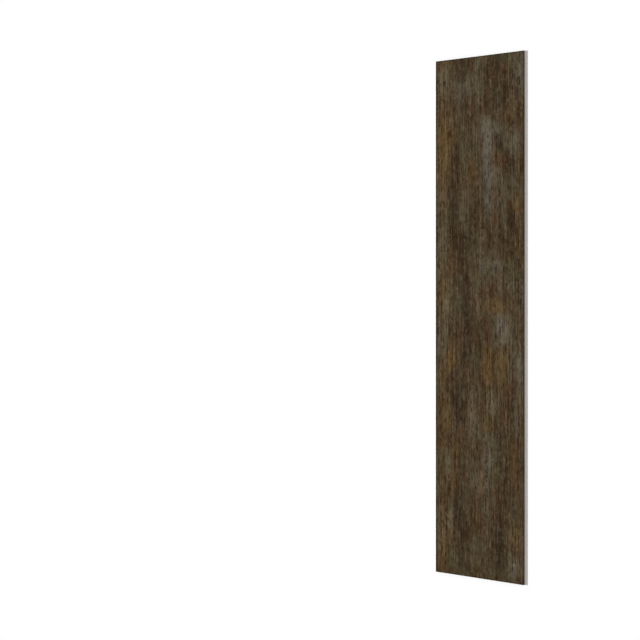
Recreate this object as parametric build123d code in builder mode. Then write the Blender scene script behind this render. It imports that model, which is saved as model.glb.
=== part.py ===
from build123d import *

import os

# Peel-and-stick vinyl floor plank: one laminated sheet, pressed flat and cut to a rectangle by a die.
# It lies on its adhesive back with the wood-grain face up. The origin is the middle of the back,
# +X runs across the plank, +Y runs along it with the grain, and +Z comes out of the face.

# Driving dimensions, in millimetres
LENGTH = 914.4        # 36 in, along the grain
WIDTH = 152.4         # 6 in, across the grain
THICKNESS = 2.0       # from the adhesive back to the face
ARRIS_RADIUS = 0.25   # how far the die rolls the face over at its rim

# The cut sheet has square sides and sharp corners, so that planks butt against each other on all four sides.
with BuildPart() as plank:
    with BuildSketch(Plane.XY):
        Rectangle(WIDTH, LENGTH)
    extrude(amount=THICKNESS)

    # The die enters through the face, so only the rim of the face is eased: the rim of the back stays sharp.
    face_rim = plank.faces().sort_by(Axis.Z)[-1].edges()
    fillet(face_rim, radius=ARRIS_RADIUS)

plank.part.label = "plank"

os.makedirs("parts", exist_ok=True)
export_step(plank.part, "parts/plank.step")
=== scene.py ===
"""Looks of a peel-and-stick vinyl floor plank: an embossed wood-grain print on a pale filled core.

The plank lies face up on its adhesive back, with its length along Y. Lengths are in metres, and those of
the print's figure are in millimetres from the plank's left side and from its far end.
"""

from collections import namedtuple
from math import cos, pi, radians, sin

import bpy
import numpy as np
from bpy.props import FloatProperty, FloatVectorProperty, IntProperty, PointerProperty
from mathutils import Matrix, Vector, noise


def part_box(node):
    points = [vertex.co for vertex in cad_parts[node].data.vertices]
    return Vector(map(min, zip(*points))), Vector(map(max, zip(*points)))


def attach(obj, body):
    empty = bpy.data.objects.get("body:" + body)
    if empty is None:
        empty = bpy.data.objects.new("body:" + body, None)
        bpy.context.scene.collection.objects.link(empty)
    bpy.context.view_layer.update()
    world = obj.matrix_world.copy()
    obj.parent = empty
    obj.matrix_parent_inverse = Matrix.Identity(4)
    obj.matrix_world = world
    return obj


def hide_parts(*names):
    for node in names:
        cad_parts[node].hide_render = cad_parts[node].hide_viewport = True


bl_info = {
    "name": "Vinyl floor plank",
    "version": (1, 0, 0),
    "blender": (4, 5, 0),
    "location": "3D View > Sidebar > Plank",
    "description": "Dresses a self-adhesive vinyl floor plank and sets it on a plain stage",
    "category": "Object",
}

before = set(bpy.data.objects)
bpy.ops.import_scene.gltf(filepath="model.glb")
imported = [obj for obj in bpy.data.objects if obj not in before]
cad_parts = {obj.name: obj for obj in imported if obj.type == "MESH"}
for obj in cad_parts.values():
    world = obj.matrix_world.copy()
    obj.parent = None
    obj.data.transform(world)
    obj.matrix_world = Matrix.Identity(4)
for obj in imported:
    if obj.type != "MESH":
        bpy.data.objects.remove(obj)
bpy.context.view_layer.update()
PLANK_LOW, PLANK_HIGH = (Vector(corner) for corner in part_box("plank"))
PLANK_SIZE = PLANK_HIGH - PLANK_LOW

MM = 0.001

# Width of the camera's sensor, in millimetres
SENSOR_WIDTH = 36.0

# How far the cells of a pattern are turned from the grain, unless they are this many times as long as wide
CELL_TURN = radians(37)
LONG_CELL = 10

# A pattern of streaks along the grain: how wide and how long a streak is, in metres, how many finer levels
# it has, how rough they are, and a number that sets it apart from the other patterns
Pattern = namedtuple("Pattern", "width length detail roughness seed")
PATCHES = Pattern(24 * MM, 60 * MM, 3.0, 0.6, 3)
ROUGH_SPOTS = Pattern(7 * MM, 10 * MM, 3.0, 0.75, 5)
MOTTLE = Pattern(7 * MM, 13 * MM, 2.0, 0.7, 9)
TEARS = Pattern(7 * MM, 18 * MM, 4.0, 0.65, 11)
BANDS = Pattern(12 * MM, 220 * MM, 2.0, 0.8, 13)

# The hairs of the print and the ticks of the emboss, whose width is one of the plank's settings
HAIR_LENGTH = 40 * MM
HAIR_SEED = 17
TICK_LENGTH = 7 * MM
TICK_SEED = 19

# How far the grain wanders sideways, and the width and length of its swings
WANDER_REACH = 4 * MM
SWING_WIDTH = 70 * MM
SWING_LENGTH = 260 * MM

# How far the floor and the rim of a pore are from its middle, as shares of a cell
PORE_FLOOR = 0.13
PORE_RIM = 0.27

# The strength at which a stain shows in full, the tone of the grain at which neither ink shows, and the
# share of dark ink at the very rim
FULL_STAIN = 0.9
EVEN_TONE = 1.148
RIM_INK = 0.8

# How far from the rim the emboss starts to die out, and the depth of what is too fine for the mesh
EMBOSS_FADE = 1.5 * MM
FINE_DEPTH = 0.05 * MM

# Steps of the mesh round the arris, the angle past which an edge is a sharp corner, and the reach of
# the weld that closes the mesh
ARRIS_STEPS = 4
SHARP_CORNER = radians(50)
WELD_REACH = 0.01 * MM

# The cut sides: length and height of a layer of the core, and height and blur of the lower edge of the
# paler line along the top, which is the wear layer's edge and a painted highlight of the rim
LAYER_LENGTH = 40 * MM
LAYER_HEIGHT = 0.5 * MM
WEAR_AND_HIGHLIGHT_HEIGHT = 0.3 * MM
WEAR_AND_HIGHLIGHT_BLUR = 0.08 * MM

# Spacing of the mottle of the release paper
PAPER_MOTTLE = 4 * MM

# Sockets of the Mix node when it mixes colours
MIX_FACTOR, MIX_UNDER, MIX_OVER, MIX_RESULT = 0, 6, 7, 2

# The figure of the print. A stain is a soft oval along the grain: its middle, from the plank's left side
# and from its far end, its half width and half length, in millimetres, and how strongly it shows.
Stain = namedtuple("Stain", "across down half_width half_length strength")

# How far the outline of a stain swerves, in millimetres, and the spacing of its swerves, in metres
SWERVE_ACROSS = 3.5
SWERVE_DOWN = 12
SWERVE_SPACING = 22 * MM

DARK_HEART = (
    Stain(46, 8, 8, 28, 0.7),
    Stain(44, 58, 6, 32, 0.7),
    Stain(103, 14, 10, 26, 0.5),
    Stain(105, 72, 10, 38, 0.75),
    Stain(123, 72, 7, 17, 1.2),
    Stain(32, 155, 8, 40, 1.0),
    Stain(107, 148, 5, 13, 1.5),
    Stain(128, 186, 9, 26, 0.6),
    Stain(28, 240, 9, 40, 0.9),
    Stain(88, 250, 6, 42, 1.3),
    Stain(132, 290, 9, 20, 0.8),
    Stain(30, 330, 8, 44, 0.9),
    Stain(52, 328, 9, 30, 0.7),
    Stain(120, 324, 10, 18, 0.5),
    Stain(48, 390, 10, 34, 0.5),
    Stain(56, 455, 8, 55, 1.0),
    Stain(116, 455, 6, 26, 0.4),
    Stain(92, 494, 6, 20, 0.7),
    Stain(55, 528, 9, 30, 0.5),
    Stain(88, 542, 5, 20, 0.8),
    Stain(34, 556, 8, 18, 1.2),
    Stain(133, 590, 7, 22, 0.6),
    Stain(39, 624, 10, 30, 1.6),
    Stain(108, 655, 10, 22, 0.8),
    Stain(136, 676, 7, 18, 0.5),
    Stain(121, 735, 9, 45, 0.6),
    Stain(43, 735, 6, 46, 0.7),
    Stain(37, 792, 7, 30, 1.1),
    Stain(45, 838, 7, 44, 0.7),
    Stain(112, 850, 9, 56, 1.1),
    Stain(49, 898, 7, 22, 0.5),
)
OCHRE_WEAR = (
    Stain(15, 4, 9, 20, 0.6),
    Stain(15, 152, 11, 60, 1.0),
    Stain(31, 132, 8, 26, 0.4),
    Stain(131, 86, 6, 20, 0.5),
    Stain(62, 195, 6, 18, 0.5),
    Stain(14, 264, 8, 42, 0.3),
    Stain(138, 264, 7, 16, 0.7),
    Stain(27, 352, 6, 22, 0.4),
    Stain(18, 412, 9, 34, 0.5),
    Stain(106, 442, 18, 14, 0.9),
    Stain(20, 505, 10, 26, 0.5),
    Stain(28, 537, 9, 18, 1.0),
    Stain(13, 566, 7, 34, 0.35),
    Stain(91, 545, 8, 38, 1.0),
    Stain(115, 540, 8, 32, 0.9),
    Stain(20, 635, 11, 26, 0.7),
    Stain(88, 645, 10, 22, 0.5),
    Stain(13, 692, 6, 22, 0.3),
    Stain(34, 698, 8, 20, 0.5),
    Stain(32, 752, 6, 24, 0.5),
    Stain(134, 692, 7, 20, 0.4),
    Stain(84, 745, 6, 16, 0.6),
    Stain(17, 838, 8, 46, 0.6),
    Stain(134, 832, 7, 20, 0.5),
    Stain(12, 882, 6, 22, 0.5),
)
RUST_WEAR = (
    Stain(127, 90, 6, 12, 0.5),
    Stain(113, 187, 8, 13, 1.0),
    Stain(106, 286, 7, 14, 0.6),
    Stain(95, 402, 7, 14, 0.7),
    Stain(92, 490, 6, 18, 0.5),
    Stain(124, 585, 8, 18, 0.8),
    Stain(121, 632, 7, 16, 0.8),
    Stain(44, 660, 7, 11, 0.8),
    Stain(138, 742, 7, 26, 0.9),
)
GREY_BLOOM = (
    Stain(50, 54, 22, 20, 0.4),
    Stain(142, 38, 9, 42, 0.5),
    Stain(85, 122, 8, 16, 0.6),
    Stain(106, 130, 9, 14, 0.5),
    Stain(90, 160, 9, 40, 1.0),
    Stain(96, 210, 16, 14, 0.5),
    Stain(138, 152, 9, 22, 0.5),
    Stain(92, 246, 8, 34, 0.7),
    Stain(112, 250, 9, 32, 0.25),
    Stain(134, 226, 8, 16, 0.2),
    Stain(80, 360, 7, 34, 0.35),
    Stain(104, 368, 10, 26, 0.5),
    Stain(145, 430, 7, 44, 0.25),
    Stain(116, 476, 11, 30, 0.8),
    Stain(10, 500, 7, 40, 0.4),
    Stain(143, 548, 8, 34, 0.6),
    Stain(140, 646, 7, 22, 0.3),
    Stain(92, 694, 10, 26, 0.5),
    Stain(88, 738, 7, 28, 0.45),
    Stain(136, 886, 9, 20, 0.6),
)
PALE_WEAR = (
    Stain(14, 45, 9, 34, 0.6),
    Stain(73, 10, 4, 16, 0.6),
    Stain(75, 76, 6, 18, 0.4),
    Stain(25, 106, 6, 14, 0.5),
    Stain(68, 128, 5, 24, 0.4),
    Stain(122, 148, 6, 20, 0.4),
    Stain(48, 165, 5, 22, 0.3),
    Stain(12, 250, 8, 34, 0.4),
    Stain(52, 236, 9, 24, 0.25),
    Stain(45, 280, 6, 24, 0.25),
    Stain(12, 332, 8, 34, 0.4),
    Stain(116, 412, 6, 16, 0.4),
    Stain(18, 442, 7, 24, 0.7),
    Stain(75, 430, 4, 38, 0.4),
    Stain(120, 484, 10, 30, 0.4),
    Stain(98, 602, 8, 18, 0.7),
    Stain(67, 590, 9, 20, 0.3),
    Stain(65, 640, 6, 36, 0.7),
    Stain(22, 722, 6, 24, 0.5),
    Stain(68, 742, 7, 26, 0.25),
    Stain(92, 790, 6, 26, 0.4),
    Stain(26, 816, 5, 18, 0.6),
    Stain(10, 836, 7, 28, 0.4),
)


def linear(hex_colour):
    """Linear red, green and blue of an sRGB hex colour such as #4B3E2D."""
    channels = (int(hex_colour[at:at + 2], 16) / 255 for at in (1, 3, 5))
    return tuple(c / 12.92 if c <= 0.04045 else ((c + 0.055) / 1.055) ** 2.4 for c in channels)


def colour_property(name, description, hex_colour):
    """A colour setting with an sRGB hex colour as its default."""
    return FloatVectorProperty(
        name=name, description=description, default=linear(hex_colour), subtype="COLOR", min=0.0, max=1.0
    )


def length_property(name, description, metres):
    """A length setting with its default in metres."""
    return FloatProperty(name=name, description=description, default=metres, unit="LENGTH", precision=5)


class PlankShape(bpy.types.PropertyGroup):
    """Sizes of the plank and of the grain pressed into its face."""

    width: length_property("Width", "Across the grain", PLANK_SIZE.x)
    length: length_property("Length", "Along the grain", PLANK_SIZE.y)
    thickness: length_property("Thickness", "From the back to the face", PLANK_SIZE.z)
    arris_radius: length_property("Arris radius", "How far the rim of the face is eased", 0.25 * MM)
    column_pitch: length_property("Column pitch", "Spacing of the face's mesh across the grain", 0.5 * MM)
    row_pitch: length_property("Row pitch", "Spacing of the face's mesh along the grain", 3.0 * MM)
    grain_depth: length_property("Grain depth", "Depth of the deepest pressed pores", 0.11 * MM)
    # The fibres and pores are drawn as coarse as they need to be to show in the render; the hairs aren't
    fibre_width: length_property("Fibre width", "Width of a fibre of the grain", 3.0 * MM)
    fibre_length: length_property("Fibre length", "Length of a fibre of the grain", 110.0 * MM)
    pore_width: length_property("Pore spacing across", "Spacing of the pores across the grain", 3.0 * MM)
    pore_length: length_property("Pore spacing along", "Spacing of the pores along the grain", 13.0 * MM)
    hair_width: length_property("Hair width", "Width of the finest hairs and ticks of the face", 0.5 * MM)
    hair_slip: length_property("Hair slip", "How far a hair of the print slips along the grain", 8.0 * MM)
    rim_band: length_property("Rim band", "Width of the darker ink along the rim of the face", 3.0 * MM)
    grain_seed: IntProperty(name="Grain seed", description="Picks another run of the grain", default=7)


class PlankColours(bpy.types.PropertyGroup):
    """Colours of the printed film, the core and the release paper."""

    ground: colour_property("Ground", "Brown ground of the print", "#402D16")
    olive: colour_property("Olive", "Greyer patches of the ground", "#423823")
    dark_heart: colour_property("Dark heart", "Dark bands and knots", "#2B1D0D")
    ochre: colour_property("Ochre", "Yellow-brown wear", "#5C4420")
    rust: colour_property("Rust", "Red-brown wear", "#4A2D16")
    bloom: colour_property("Bloom", "Cool grey wear", "#655F53")
    # Also the painted highlight on the ridges of the ticks
    pale_ink_and_highlight: colour_property("Pale ink", "Worn tops of the fibres", "#7F745E")
    dark_ink: colour_property("Dark ink", "Hollows, pores and rim", "#271908")
    core: colour_property("Core", "Cut sides of the core", "#A69D97")
    core_streak: colour_property("Core streak", "Darker layers of the core", "#918882")
    # The paler line along the top of the cut is the wear layer's edge and a painted highlight of the rim
    wear_edge_and_highlight: colour_property("Wear edge and highlight", "Cut edge of the clear wear layer", "#B1A8A1")
    paper: colour_property("Paper", "Release paper on the back", "#DDD6C8")
    paper_fibre: colour_property("Paper fibre", "Mottle of the release paper", "#D6CEBF")


class PlankStage(bpy.types.PropertyGroup):
    """Floor, light and camera."""

    floor_colour: colour_property("Floor", "Matte white floor", "#FBFBFB")
    floor_span: length_property("Floor span", "Side of the square floor", 80.0)
    key_elevation: FloatProperty(
        name="Key elevation", description="Height of the key lamp, which stands off the left side",
        default=radians(20.0), subtype="ANGLE",
    )
    key_width: FloatProperty(
        name="Key width", description="How wide the key lamp looks from the plank",
        default=radians(1.6), subtype="ANGLE",
    )
    light_level: FloatProperty(
        name="Light level", description="Light on a level surface, where 1 shows a colour as written",
        default=1.04,
    )
    horizon: colour_property("Horizon", "Light of the surroundings, level with the plank", "#FFFFFF")
    zenith: colour_property("Zenith", "Light of the surroundings, overhead", "#7C7065")
    lens: FloatProperty(
        name="Lens", description="Focal length on a 36 mm sensor", default=37.05, unit="CAMERA"
    )
    lens_shift: FloatProperty(
        name="Lens shift", description="How far the picture lies above the camera's axis, in picture widths",
        default=-0.0458,
    )
    eye: FloatVectorProperty(
        name="Eye", description="Where the camera stands, over the plank and to its right",
        default=(0.1566, 0.0464, 1.1779), subtype="TRANSLATION", unit="LENGTH",
    )
    aim: FloatVectorProperty(
        name="Aim", description="Where the camera's axis falls, in the plane of the face",
        default=(-0.2987, 0.0464, PLANK_HIGH.z), subtype="TRANSLATION", unit="LENGTH",
    )


def add_node(tree, kind, inputs=None, **settings):
    """Adds a node, gives it its settings, and sets or links its inputs by name or number."""
    made = tree.nodes.new(kind)
    for name, value in settings.items():
        setattr(made, name, value)
    for key, value in (inputs or {}).items():
        if isinstance(value, bpy.types.NodeSocket):
            tree.links.new(value, made.inputs[key])
        else:
            made.inputs[key].default_value = value
    return made


def cell_place(tree, place, width, length, seed):
    """Adds a place counted in cells of a pattern; short cells are turned, so that they don't line up."""
    steps = (1 / width, 1 / length, 0)
    counted = add_node(
        tree, "ShaderNodeVectorMath", {0: place, 1: steps, 2: (0, 0, seed)}, operation="MULTIPLY_ADD"
    ).outputs[0]
    turn = CELL_TURN if length < LONG_CELL * width else 0.0
    return add_node(
        tree, "ShaderNodeVectorRotate", {"Vector": counted, "Angle": turn}, rotation_type="Z_AXIS"
    ).outputs[0]


def streaks(tree, place, pattern):
    """Adds the streaks of a pattern, from 0 to 1 and a half on average."""
    cells = cell_place(tree, place, pattern.width, pattern.length, pattern.seed)
    return add_node(
        tree, "ShaderNodeTexNoise",
        {"Vector": cells, "Scale": 1.0, "Detail": pattern.detail, "Roughness": pattern.roughness},
    ).outputs[0]


def grain_field(tree, place, shape, detail):
    """Adds the grain to a shader or geometry tree, so that the print and the emboss are in register.

    Returns the place pushed sideways as the grain wanders, the fibres and the pores, both from 0 to 1.
    """
    seed = shape.grain_seed
    swings = streaks(tree, place, Pattern(SWING_WIDTH, SWING_LENGTH, 1.0, 0.5, seed))
    wandered = add_node(
        tree, "ShaderNodeVectorMath", {0: swings, 1: (WANDER_REACH, 0, 0), 2: place},
        operation="MULTIPLY_ADD",
    ).outputs[0]
    fibres = streaks(tree, wandered, Pattern(shape.fibre_width, shape.fibre_length, detail, 0.75, seed))

    # A pore is an oval at the middle of each cell, some pressed deep and some hardly at all
    cells = cell_place(tree, wandered, shape.pore_width, shape.pore_length, seed)
    pore_cells = add_node(
        tree, "ShaderNodeTexVoronoi", {"Vector": cells, "Scale": 1.0}, voronoi_dimensions="2D"
    ).outputs
    ovals = add_node(
        tree, "ShaderNodeMapRange",
        {"Value": pore_cells["Distance"], "From Min": PORE_RIM, "From Max": PORE_FLOOR},
        interpolation_type="SMOOTHSTEP",
    ).outputs[0]
    pores = add_node(
        tree, "ShaderNodeMath", {0: ovals, 1: pore_cells["Color"]}, operation="MULTIPLY"
    ).outputs[0]
    return wandered, fibres, pores


def rim_distance(tree, place, half_size):
    """Adds how far a place on the face is from the nearest side."""
    reach = add_node(tree, "ShaderNodeVectorMath", {0: place}, operation="ABSOLUTE").outputs[0]
    inside = add_node(
        tree, "ShaderNodeVectorMath", {0: half_size, 1: reach}, operation="SUBTRACT"
    ).outputs[0]
    ways = add_node(tree, "ShaderNodeSeparateXYZ", {0: inside}).outputs
    return add_node(tree, "ShaderNodeMath", {0: ways[0], 1: ways[1]}, operation="MINIMUM").outputs[0]


def embossed_face(tree, given, place, flat, shape):
    """Adds the flat of the face with the grain sunk into it, dying out so that the rim stays level."""
    flat_half = add_node(tree, "ShaderNodeSeparateXYZ", {0: flat}).outputs
    flat_width = add_node(
        tree, "ShaderNodeMath", {0: flat_half[0], 1: 2.0}, operation="MULTIPLY"
    ).outputs[0]
    flat_length = add_node(
        tree, "ShaderNodeMath", {0: flat_half[1], 1: 2.0}, operation="MULTIPLY"
    ).outputs[0]
    face = add_node(
        tree, "GeometryNodeMeshGrid",
        {
            "Size X": flat_width,
            "Size Y": flat_length,
            "Vertices X": given["Columns"],
            "Vertices Y": given["Rows"],
        },
    ).outputs["Mesh"]

    # The valleys between the fibres are less deep than the deepest pores
    _, fibres, pores = grain_field(tree, place, shape, detail=1.0)
    valleys = add_node(
        tree, "ShaderNodeMapRange", {"Value": fibres, "From Min": 0.62, "From Max": 0.35, "To Max": 0.7},
        interpolation_type="SMOOTHSTEP",
    ).outputs[0]
    relief = add_node(tree, "ShaderNodeMath", {0: valleys, 1: pores}, operation="MAXIMUM").outputs[0]
    fade = add_node(
        tree, "ShaderNodeMapRange", {"Value": rim_distance(tree, place, flat), "From Max": EMBOSS_FADE},
        interpolation_type="SMOOTHSTEP",
    ).outputs[0]
    faded = add_node(tree, "ShaderNodeMath", {0: relief, 1: fade}, operation="MULTIPLY").outputs[0]
    sink = add_node(
        tree, "ShaderNodeMath", {0: faded, 1: given["Grain depth"]}, operation="MULTIPLY"
    ).outputs[0]
    height = add_node(
        tree, "ShaderNodeMath", {0: given["Thickness"], 1: sink}, operation="SUBTRACT"
    ).outputs[0]
    lift = add_node(tree, "ShaderNodeCombineXYZ", {2: height}).outputs[0]
    pressed = add_node(tree, "GeometryNodeSetPosition", {"Geometry": face, "Offset": lift}).outputs[0]
    return add_node(
        tree, "GeometryNodeSetMaterial", {"Geometry": pressed, "Material": given["Film"]}
    ).outputs[0]


def cut_edge(tree, given, place, face, flat, sides, open_edge):
    """Adds the film round the arris in steps, and the cut core straight down from there to the back."""
    rings = []
    for step in range(1, ARRIS_STEPS + 1):
        turn = pi / 2 * step / ARRIS_STEPS
        short_of_sides = (sin(turn) - 1, sin(turn) - 1, cos(turn) - 1)
        rings.append(
            add_node(
                tree, "ShaderNodeVectorMath", {0: given["Arris radius"], 1: short_of_sides, 2: sides},
                operation="MULTIPLY_ADD",
            ).outputs[0]
        )
    rings.append(
        add_node(tree, "ShaderNodeVectorMath", {0: sides, 1: (1, 1, 0)}, operation="MULTIPLY").outputs[0]
    )
    finishes = [given["Film"]] * ARRIS_STEPS + [given["Core"]]
    mesh = face
    last = flat
    for ring, finish in zip(rings, finishes):
        growth = add_node(tree, "ShaderNodeVectorMath", {0: ring, 1: last}, operation="DIVIDE").outputs[0]
        grown = add_node(
            tree, "ShaderNodeVectorMath", {0: place, 1: growth}, operation="MULTIPLY"
        ).outputs[0]
        strip = add_node(
            tree, "GeometryNodeExtrudeMesh",
            {"Mesh": mesh, "Selection": open_edge, "Offset Scale": 0.0}, mode="EDGES",
        ).outputs
        moved = add_node(
            tree, "GeometryNodeSetPosition",
            {"Geometry": strip["Mesh"], "Selection": strip["Top"], "Position": grown},
        ).outputs[0]
        mesh = add_node(
            tree, "GeometryNodeSetMaterial",
            {"Geometry": moved, "Selection": strip["Side"], "Material": finish},
        ).outputs[0]
        last = ring
    return mesh


def plank_tree(shape):
    """Builds the tree of the plank: an embossed face, an eased rim, square sides and a flat back."""
    tree = bpy.data.node_groups.new("Vinyl plank", "GeometryNodeTree")
    for name, kind in (
        ("Width", "Float"), ("Length", "Float"), ("Thickness", "Float"), ("Arris radius", "Float"),
        ("Grain depth", "Float"), ("Columns", "Int"), ("Rows", "Int"),
        ("Film", "Material"), ("Core", "Material"), ("Paper", "Material"),
    ):
        tree.interface.new_socket(name, in_out="INPUT", socket_type="NodeSocket" + kind)
    tree.interface.new_socket("Plank", in_out="OUTPUT", socket_type="NodeSocketGeometry")
    given = tree.nodes.new("NodeGroupInput").outputs
    place = add_node(tree, "GeometryNodeInputPosition").outputs[0]

    # Half the width, half the length and the height, at the sides and where the flat of the face ends
    size = add_node(
        tree, "ShaderNodeCombineXYZ", {0: given["Width"], 1: given["Length"], 2: given["Thickness"]}
    ).outputs[0]
    sides = add_node(
        tree, "ShaderNodeVectorMath", {0: size, 1: (0.5, 0.5, 1.0)}, operation="MULTIPLY"
    ).outputs[0]
    flat = add_node(
        tree, "ShaderNodeVectorMath", {0: given["Arris radius"], 1: (-1, -1, 0), 2: sides},
        operation="MULTIPLY_ADD",
    ).outputs[0]

    # An edge with one face is open: first the rim of the face, and then the foot of each strip added to it
    open_edge = add_node(
        tree, "FunctionNodeCompare",
        {2: add_node(tree, "GeometryNodeInputMeshEdgeNeighbors").outputs[0], 3: 1},
        data_type="INT", operation="EQUAL",
    ).outputs[0]
    face = embossed_face(tree, given, place, flat, shape)
    mesh = cut_edge(tree, given, place, face, flat, sides, open_edge)

    # The back closes the open edge
    outline = add_node(tree, "GeometryNodeMeshToCurve", {"Mesh": mesh, "Selection": open_edge}).outputs[0]
    back = add_node(tree, "GeometryNodeFillCurve", {"Curve": outline}, mode="NGONS").outputs[0]
    back = add_node(tree, "GeometryNodeFlipFaces", {"Mesh": back}).outputs[0]
    both = add_node(tree, "GeometryNodeJoinGeometry", {0: back})
    tree.links.new(mesh, both.inputs[0])
    closed = add_node(
        tree, "GeometryNodeMergeByDistance", {"Geometry": both.outputs[0], "Distance": WELD_REACH}
    ).outputs[0]

    # Smooth over the face and the arris, with sharp corners at the sides and the back
    smooth = add_node(
        tree, "GeometryNodeSetShadeSmooth", {"Geometry": closed, "Shade Smooth": True}
    ).outputs[0]
    corner = add_node(
        tree, "FunctionNodeCompare",
        {0: add_node(tree, "GeometryNodeInputMeshEdgeAngle").outputs[0], 1: SHARP_CORNER},
        data_type="FLOAT", operation="GREATER_THAN",
    ).outputs[0]
    smooth = add_node(
        tree, "GeometryNodeSetShadeSmooth",
        {"Geometry": smooth, "Selection": corner, "Shade Smooth": False}, domain="EDGE",
    ).outputs[0]

    # What faces down is papered
    plain = add_node(tree, "GeometryNodeRealizeInstances", {"Geometry": smooth}).outputs[0]
    facing = add_node(
        tree, "ShaderNodeSeparateXYZ", {0: add_node(tree, "GeometryNodeInputNormal").outputs[0]}
    ).outputs[2]
    under = add_node(
        tree, "FunctionNodeCompare", {0: facing, 1: -0.5}, data_type="FLOAT", operation="LESS_THAN"
    ).outputs[0]
    plank = add_node(
        tree, "GeometryNodeSetMaterial", {"Geometry": plain, "Selection": under, "Material": given["Paper"]}
    ).outputs[0]
    add_node(tree, "NodeGroupOutput", {0: plank})
    return tree


def grown_from(tree, name, values):
    """Runs a geometry tree with the given inputs and returns its result as a plain mesh object."""
    piece = bpy.data.objects.new(name, bpy.data.meshes.new(name))
    bpy.context.scene.collection.objects.link(piece)
    modifier = piece.modifiers.new(name, "NODES")
    modifier.node_group = tree
    for socket in tree.interface.items_tree:
        if socket.in_out == "INPUT":
            modifier[socket.identifier] = values[socket.name]
    graph = bpy.context.evaluated_depsgraph_get()
    mesh = bpy.data.meshes.new_from_object(piece.evaluated_get(graph), depsgraph=graph)
    piece.modifiers.remove(modifier)
    piece.data = mesh
    mesh.name = name
    return piece


def figure_places(mesh):
    """How far each point is from the left side and from the far end, in millimetres, with swerves."""
    places = np.empty(len(mesh.vertices) * 3)
    mesh.vertices.foreach_get("co", places)
    places = places.reshape(-1, 3)
    swerves = np.array([noise.noise_vector(Vector(place) / SWERVE_SPACING) for place in places])
    across = (places[:, 0] - PLANK_LOW.x) / MM + SWERVE_ACROSS * swerves[:, 0]
    down = (PLANK_HIGH.y - places[:, 1]) / MM + SWERVE_DOWN * swerves[:, 1]
    return across, down


def lay_stains(mesh, name, stains, across, down):
    """Stores how strongly one kind of stain shows at each point, as an attribute of that name."""
    shown = np.zeros(len(mesh.vertices))
    for stain in stains:
        aside = (across - stain.across) / stain.half_width
        away = (down - stain.down) / stain.half_length
        shown += stain.strength * np.exp(-aside**2 - away**2)
    mesh.attributes.new(name, "FLOAT", "POINT").data.foreach_set("value", shown)


def new_material(name):
    """A node material with one Principled shader; returns the material, its tree and that shader."""
    made = bpy.data.materials.new(name)
    made.use_nodes = True
    tree = made.node_tree
    return made, tree, tree.nodes["Principled BSDF"]


def opaque(colour):
    """A colour setting as a socket takes it."""
    return (*colour, 1.0)


def stained_ground(tree, place, colours):
    """Adds the colour of the ground, brown with greyer patches, and of the stains on it."""
    patches = streaks(tree, place, PATCHES)
    olive_share = add_node(
        tree, "ShaderNodeMapRange", {"Value": patches, "From Min": 0.42, "From Max": 0.58},
        interpolation_type="SMOOTHSTEP",
    ).outputs[0]
    colour = add_node(
        tree, "ShaderNodeMix",
        {MIX_FACTOR: olive_share, MIX_UNDER: opaque(colours.ground), MIX_OVER: opaque(colours.olive)},
        data_type="RGBA",
    ).outputs[MIX_RESULT]

    # The stains are torn into streaks, and each kind covers what is under it up to a share of its own
    tears = streaks(tree, place, TEARS)
    tearing = add_node(
        tree, "ShaderNodeMapRange",
        {"Value": tears, "From Min": 0.3, "From Max": 0.7, "To Min": 0.4, "To Max": 1.5},
    ).outputs[0]
    for name, tone, most in (
        ("dark_heart", colours.dark_heart, 1.0),
        ("ochre_wear", colours.ochre, 0.86),
        ("rust_wear", colours.rust, 0.86),
        ("grey_bloom", colours.bloom, 0.86),
        ("pale_wear", colours.pale_ink_and_highlight, 0.55),
    ):
        stain = add_node(tree, "ShaderNodeAttribute", attribute_name=name).outputs["Fac"]
        torn = add_node(tree, "ShaderNodeMath", {0: stain, 1: tearing}, operation="MULTIPLY").outputs[0]
        share = add_node(
            tree, "ShaderNodeMapRange", {"Value": torn, "From Max": FULL_STAIN, "To Max": most}
        ).outputs[0]
        colour = add_node(
            tree, "ShaderNodeMix", {MIX_FACTOR: share, MIX_UNDER: colour, MIX_OVER: opaque(tone)},
            data_type="RGBA",
        ).outputs[MIX_RESULT]
    return colour


def grain_tone(tree, place, fibres, pores, hairs, ticks):
    """Adds the tone of the grain: above EVEN_TONE on its worn tops, and below it in its hollows."""
    # Fibres that come and go along the grain, with pores where they are rough
    rough = streaks(tree, place, ROUGH_SPOTS)
    rise = add_node(
        tree, "ShaderNodeMapRange",
        {"Value": rough, "From Min": 0.3, "From Max": 0.7, "To Min": -0.9, "To Max": 2.0}, clamp=False,
    ).outputs[0]
    raised = add_node(tree, "ShaderNodeMath", {0: fibres, 1: 0.5}, operation="SUBTRACT").outputs[0]
    strands = add_node(tree, "ShaderNodeMath", {0: raised, 1: rise}, operation="MULTIPLY").outputs[0]
    open_share = add_node(
        tree, "ShaderNodeMapRange", {"Value": rough, "From Min": 0.45, "From Max": 0.6}
    ).outputs[0]
    flecks = add_node(tree, "ShaderNodeMath", {0: pores, 1: open_share}, operation="MULTIPLY").outputs[0]

    # Each pattern counts by its weight, and the dark flecks count against the rest
    tone = 0.0
    for pattern, weight in (
        (streaks(tree, place, BANDS), 0.4),
        (streaks(tree, place, MOTTLE), 0.75),
        (strands, 2.35),
        (flecks, -0.5),
        # The ticks add a painted highlight on their ridges
        (ticks, 0.12),
        (hairs, 1.1),
    ):
        tone = add_node(
            tree, "ShaderNodeMath", {0: pattern, 1: weight, 2: tone}, operation="MULTIPLY_ADD"
        ).outputs[0]
    return tone


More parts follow.
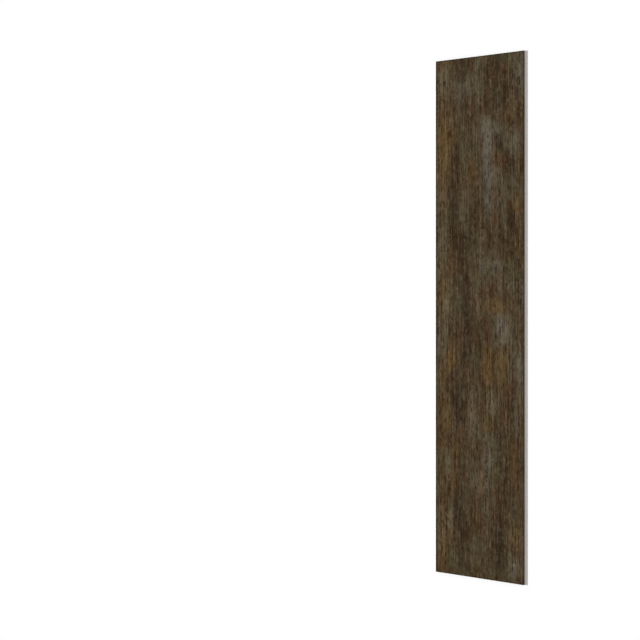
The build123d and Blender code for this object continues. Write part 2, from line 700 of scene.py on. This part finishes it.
def printed_vinyl_film(shape, colours):
    """Vinyl film under a matte urethane wear layer, printed with worn wood and embossed in register.

    The eye gets a brown ground with greyer patches, soft dark, ochre, rust, grey and pale stains with
    frayed ends, fibres that come and go, long fine hairs, dark pores and fine ticks lightened by a
    painted highlight, all along the length, and a low, uneven sheen that is duller between the fibres.
    """
    film, tree, shader = new_material("Printed vinyl film")
    place = add_node(tree, "ShaderNodeTexCoord").outputs["Object"]

    # Each hair of the print slips along the grain by its own amount, which frays whatever lies across it
    hair = Pattern(shape.hair_width, HAIR_LENGTH, detail=2.0, roughness=0.6, seed=HAIR_SEED)
    hairs = streaks(tree, place, hair)
    slip_reach = (0, shape.hair_slip, 0)
    slip = add_node(
        tree, "ShaderNodeVectorMath", {0: hairs, 1: slip_reach, 2: (0, -shape.hair_slip / 2, 0)},
        operation="MULTIPLY_ADD",
    ).outputs[0]
    slipped = add_node(tree, "ShaderNodeVectorMath", {0: place, 1: slip}, operation="ADD").outputs[0]
    wandered, fibres, pores = grain_field(tree, slipped, shape, detail=4.0)

    # Fine ticks all over, pressed by the emboss roller
    press = Pattern(shape.hair_width, TICK_LENGTH, detail=1.0, roughness=0.5, seed=TICK_SEED)
    ticks = add_node(
        tree, "ShaderNodeMapRange",
        {"Value": streaks(tree, place, press), "From Min": 0.45, "From Max": 0.57},
        interpolation_type="SMOOTHSTEP",
    ).outputs[0]

    # The grain is worn pale on its tops, with a painted highlight on the ridges of the ticks, and inked dark
    # in its hollows: the tone at which each ink is fullest, and its share there
    colour = stained_ground(tree, wandered, colours)
    tone = grain_tone(tree, wandered, fibres, pores, hairs, ticks)
    for ink, full_at, most in (
        (colours.pale_ink_and_highlight, EVEN_TONE + 0.5, 0.44),
        (colours.dark_ink, EVEN_TONE - 0.3, 1.0),
    ):
        share = add_node(
            tree, "ShaderNodeMapRange",
            {"Value": tone, "From Min": EVEN_TONE, "From Max": full_at, "To Max": most},
        ).outputs[0]
        colour = add_node(
            tree, "ShaderNodeMix", {MIX_FACTOR: share, MIX_UNDER: colour, MIX_OVER: opaque(ink)},
            data_type="RGBA",
        ).outputs[MIX_RESULT]

    # The face is darker towards its rim
    to_rim = rim_distance(tree, place, (shape.width / 2, shape.length / 2, 0))
    rim_share = add_node(
        tree, "ShaderNodeMapRange",
        {"Value": to_rim, "From Min": shape.rim_band, "From Max": 0.0, "To Max": RIM_INK},
        interpolation_type="SMOOTHSTEP",
    ).outputs[0]
    colour = add_node(
        tree, "ShaderNodeMix",
        {MIX_FACTOR: rim_share, MIX_UNDER: colour, MIX_OVER: opaque(colours.dark_ink)}, data_type="RGBA",
    ).outputs[MIX_RESULT]
    tree.links.new(colour, shader.inputs["Base Color"])

    sheen = add_node(
        tree, "ShaderNodeMapRange", {"Value": fibres, "To Min": 0.95, "To Max": 0.75}
    ).outputs[0]
    tree.links.new(sheen, shader.inputs["Roughness"])
    shader.inputs["IOR"].default_value = 1.5
    shader.inputs["Specular IOR Level"].default_value = 0.12
    relief = add_node(
        tree, "ShaderNodeMath", {0: ticks, 1: 0.9, 2: fibres}, operation="MULTIPLY_ADD"
    ).outputs[0]
    fine = add_node(tree, "ShaderNodeBump", {"Strength": 0.5, "Distance": FINE_DEPTH, "Height": relief})
    tree.links.new(fine.outputs[0], shader.inputs["Normal"])
    return film


def filled_vinyl_core(shape, colours):
    """Vinyl filled with ground limestone, cut by a die: pale and dull, with faint layers along the cut.

    The clear wear layer's edge and a painted highlight of the rim show as a paler line along the top of
    the cut.
    """
    core, tree, shader = new_material("Limestone-filled vinyl core")
    place = add_node(tree, "ShaderNodeTexCoord").outputs["Object"]
    layer_steps = (1 / LAYER_LENGTH, 1 / LAYER_LENGTH, 1 / LAYER_HEIGHT)
    layered = add_node(tree, "ShaderNodeVectorMath", {0: place, 1: layer_steps}, operation="MULTIPLY")
    layers = add_node(
        tree, "ShaderNodeTexNoise",
        {"Vector": layered.outputs[0], "Scale": 1.0, "Detail": 3.0, "Roughness": 0.6},
    ).outputs[0]
    share = add_node(
        tree, "ShaderNodeMapRange", {"Value": layers, "From Min": 0.4, "From Max": 0.65}
    ).outputs[0]
    colour = add_node(
        tree, "ShaderNodeMix",
        {MIX_FACTOR: share, MIX_UNDER: opaque(colours.core), MIX_OVER: opaque(colours.core_streak)},
        data_type="RGBA",
    ).outputs[MIX_RESULT]
    # A paler line along the top of the cut: the wear layer's edge and a painted highlight of the rim
    wear_and_highlight_low = shape.thickness - shape.arris_radius - WEAR_AND_HIGHLIGHT_HEIGHT
    height = add_node(tree, "ShaderNodeSeparateXYZ", {0: place}).outputs[2]
    wear_and_highlight_share = add_node(
        tree, "ShaderNodeMapRange",
        {"Value": height, "From Min": wear_and_highlight_low, "From Max": wear_and_highlight_low + WEAR_AND_HIGHLIGHT_BLUR},
        interpolation_type="SMOOTHSTEP",
    ).outputs[0]
    colour = add_node(
        tree, "ShaderNodeMix",
        {MIX_FACTOR: wear_and_highlight_share, MIX_UNDER: colour, MIX_OVER: opaque(colours.wear_edge_and_highlight)}, data_type="RGBA",
    ).outputs[MIX_RESULT]
    tree.links.new(colour, shader.inputs["Base Color"])
    shader.inputs["Roughness"].default_value = 0.8
    shader.inputs["Specular IOR Level"].default_value = 0.3
    cut = add_node(tree, "ShaderNodeBump", {"Strength": 0.4, "Distance": FINE_DEPTH, "Height": layers})
    tree.links.new(cut.outputs[0], shader.inputs["Normal"])
    return core


def release_paper(colours):
    """Silicone-coated paper over the adhesive: off-white, faintly mottled by its fibres, dully glossy."""
    paper, tree, shader = new_material("Silicone release paper")
    place = add_node(tree, "ShaderNodeTexCoord").outputs["Object"]
    mottle = add_node(
        tree, "ShaderNodeTexNoise",
        {"Vector": place, "Scale": 1 / PAPER_MOTTLE, "Detail": 5.0, "Roughness": 0.65},
    ).outputs[0]
    share = add_node(
        tree, "ShaderNodeMapRange", {"Value": mottle, "From Min": 0.35, "From Max": 0.7}
    ).outputs[0]
    colour = add_node(
        tree, "ShaderNodeMix",
        {MIX_FACTOR: share, MIX_UNDER: opaque(colours.paper), MIX_OVER: opaque(colours.paper_fibre)},
        data_type="RGBA",
    )
    tree.links.new(colour.outputs[MIX_RESULT], shader.inputs["Base Color"])
    shader.inputs["Roughness"].default_value = 0.5
    return paper


class MakePlank(bpy.types.Operator):
    """Makes the plank over its CAD solid, with its embossed print, its cut sides and its papered back"""

    bl_idname = "vinyl_plank.make_plank"
    bl_label = "Make plank"

    def execute(self, context):
        shape, colours = context.scene.plank_shape, context.scene.plank_colours
        values = {
            "Width": shape.width,
            "Length": shape.length,
            "Thickness": shape.thickness,
            "Arris radius": shape.arris_radius,
            "Grain depth": shape.grain_depth,
            "Columns": round(shape.width / shape.column_pitch),
            "Rows": round(shape.length / shape.row_pitch),
            "Film": printed_vinyl_film(shape, colours),
            "Core": filled_vinyl_core(shape, colours),
            "Paper": release_paper(colours),
        }
        plank = grown_from(plank_tree(shape), "vinyl_plank", values)
        across, down = figure_places(plank.data)
        for name, stains in (
            ("dark_heart", DARK_HEART),
            ("ochre_wear", OCHRE_WEAR),
            ("rust_wear", RUST_WEAR),
            ("grey_bloom", GREY_BLOOM),
            ("pale_wear", PALE_WEAR),
        ):
            lay_stains(plank.data, name, stains, across, down)
        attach(plank, "root")
        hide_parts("plank")
        return {"FINISHED"}


class SetStage(bpy.types.Operator):
    """Lays the white floor under the plank, lights it from the left and sets the camera over it"""

    bl_idname = "vinyl_plank.set_stage"
    bl_label = "Set stage"

    def execute(self, context):
        stage = context.scene.plank_stage
        self.lay_floor(stage)
        self.light(context.scene, stage)
        self.set_camera(context.scene, stage)
        context.scene.view_settings.view_transform = "Standard"
        return {"FINISHED"}

    def lay_floor(self, stage):
        """A square of matte white board, level with the plank's back."""
        half = stage.floor_span / 2
        corners = [(-half, -half, 0), (half, -half, 0), (half, half, 0), (-half, half, 0)]
        mesh = bpy.data.meshes.new("floor")
        mesh.from_pydata(corners, [], [(0, 1, 2, 3)])
        board, _, shader = new_material("Matte white board")
        shader.inputs["Base Color"].default_value = opaque(stage.floor_colour)
        shader.inputs["Roughness"].default_value = 1.0
        shader.inputs["Specular IOR Level"].default_value = 0.0
        mesh.materials.append(board)
        floor = bpy.data.objects.new("floor", mesh)
        bpy.context.scene.collection.objects.link(floor)

    def light(self, scene, stage):
        """Pale surroundings that dim overhead, and a lamp that makes up the rest of the light level."""
        world = bpy.data.worlds.new("Pale surroundings")
        world.use_nodes = True
        scene.world = world
        tree = world.node_tree
        tree.nodes.clear()
        ray = add_node(tree, "ShaderNodeTexCoord").outputs["Generated"]
        up = add_node(tree, "ShaderNodeSeparateXYZ", {0: ray}).outputs[2]
        sky = add_node(
            tree, "ShaderNodeMix",
            {MIX_FACTOR: up, MIX_UNDER: opaque(stage.horizon), MIX_OVER: opaque(stage.zenith)},
            data_type="RGBA",
        )
        glow = add_node(tree, "ShaderNodeBackground", {"Color": sky.outputs[MIX_RESULT]})
        add_node(tree, "ShaderNodeOutputWorld", {"Surface": glow.outputs[0]})

        # A sky that runs evenly in height from horizon to zenith lights a level surface with this mean
        fill = (Vector(stage.horizon) + 2 * Vector(stage.zenith)) / 3
        missing = Vector((stage.light_level,) * 3) - fill
        lamp = bpy.data.lights.new("Key", "SUN")
        lamp.energy = pi * max(missing) / sin(stage.key_elevation)
        lamp.color = missing / max(missing)
        lamp.angle = stage.key_width
        key = bpy.data.objects.new("Key", lamp)
        towards = Vector((-cos(stage.key_elevation), 0, sin(stage.key_elevation)))
        key.rotation_euler = towards.to_track_quat("Z", "Y").to_euler()
        scene.collection.objects.link(key)

    def set_camera(self, scene, stage):
        """Looks down on the face, with the plank's far end at the top of the picture."""
        lens = bpy.data.cameras.new("Camera")
        lens.lens = stage.lens
        lens.sensor_width = SENSOR_WIDTH
        lens.shift_y = stage.lens_shift
        camera = bpy.data.objects.new("Camera", lens)
        camera.location = stage.eye
        back = (Vector(stage.eye) - Vector(stage.aim)).normalized()
        right = Vector((0, 1, 0)).cross(back).normalized()
        camera.rotation_euler = Matrix((right, back.cross(right), back)).transposed().to_euler()
        scene.collection.objects.link(camera)
        scene.camera = camera


class PlankPanel(bpy.types.Panel):
    """Settings of the plank and its stage"""

    bl_idname = "VIEW3D_PT_vinyl_plank"
    bl_label = "Vinyl plank"
    bl_space_type = "VIEW_3D"
    bl_region_type = "UI"
    bl_category = "Plank"

    def draw(self, context):
        scene = context.scene
        for settings, operator in (
            ((scene.plank_shape, scene.plank_colours), MakePlank.bl_idname),
            ((scene.plank_stage,), SetStage.bl_idname),
        ):
            box = self.layout.box()
            for group in settings:
                for name in group.__annotations__:
                    box.prop(group, name)
            box.operator(operator)


CLASSES = (PlankShape, PlankColours, PlankStage, MakePlank, SetStage, PlankPanel)
SETTINGS = {"plank_shape": PlankShape, "plank_colours": PlankColours, "plank_stage": PlankStage}


def register():
    for kind in CLASSES:
        bpy.utils.register_class(kind)
    for name, kind in SETTINGS.items():
        setattr(bpy.types.Scene, name, PointerProperty(type=kind))


def unregister():
    for name in SETTINGS:
        delattr(bpy.types.Scene, name)
    for kind in reversed(CLASSES):
        bpy.utils.unregister_class(kind)


def main():
    register()
    bpy.ops.vinyl_plank.make_plank()
    bpy.ops.vinyl_plank.set_stage()


if __name__ == "__main__":
    main()
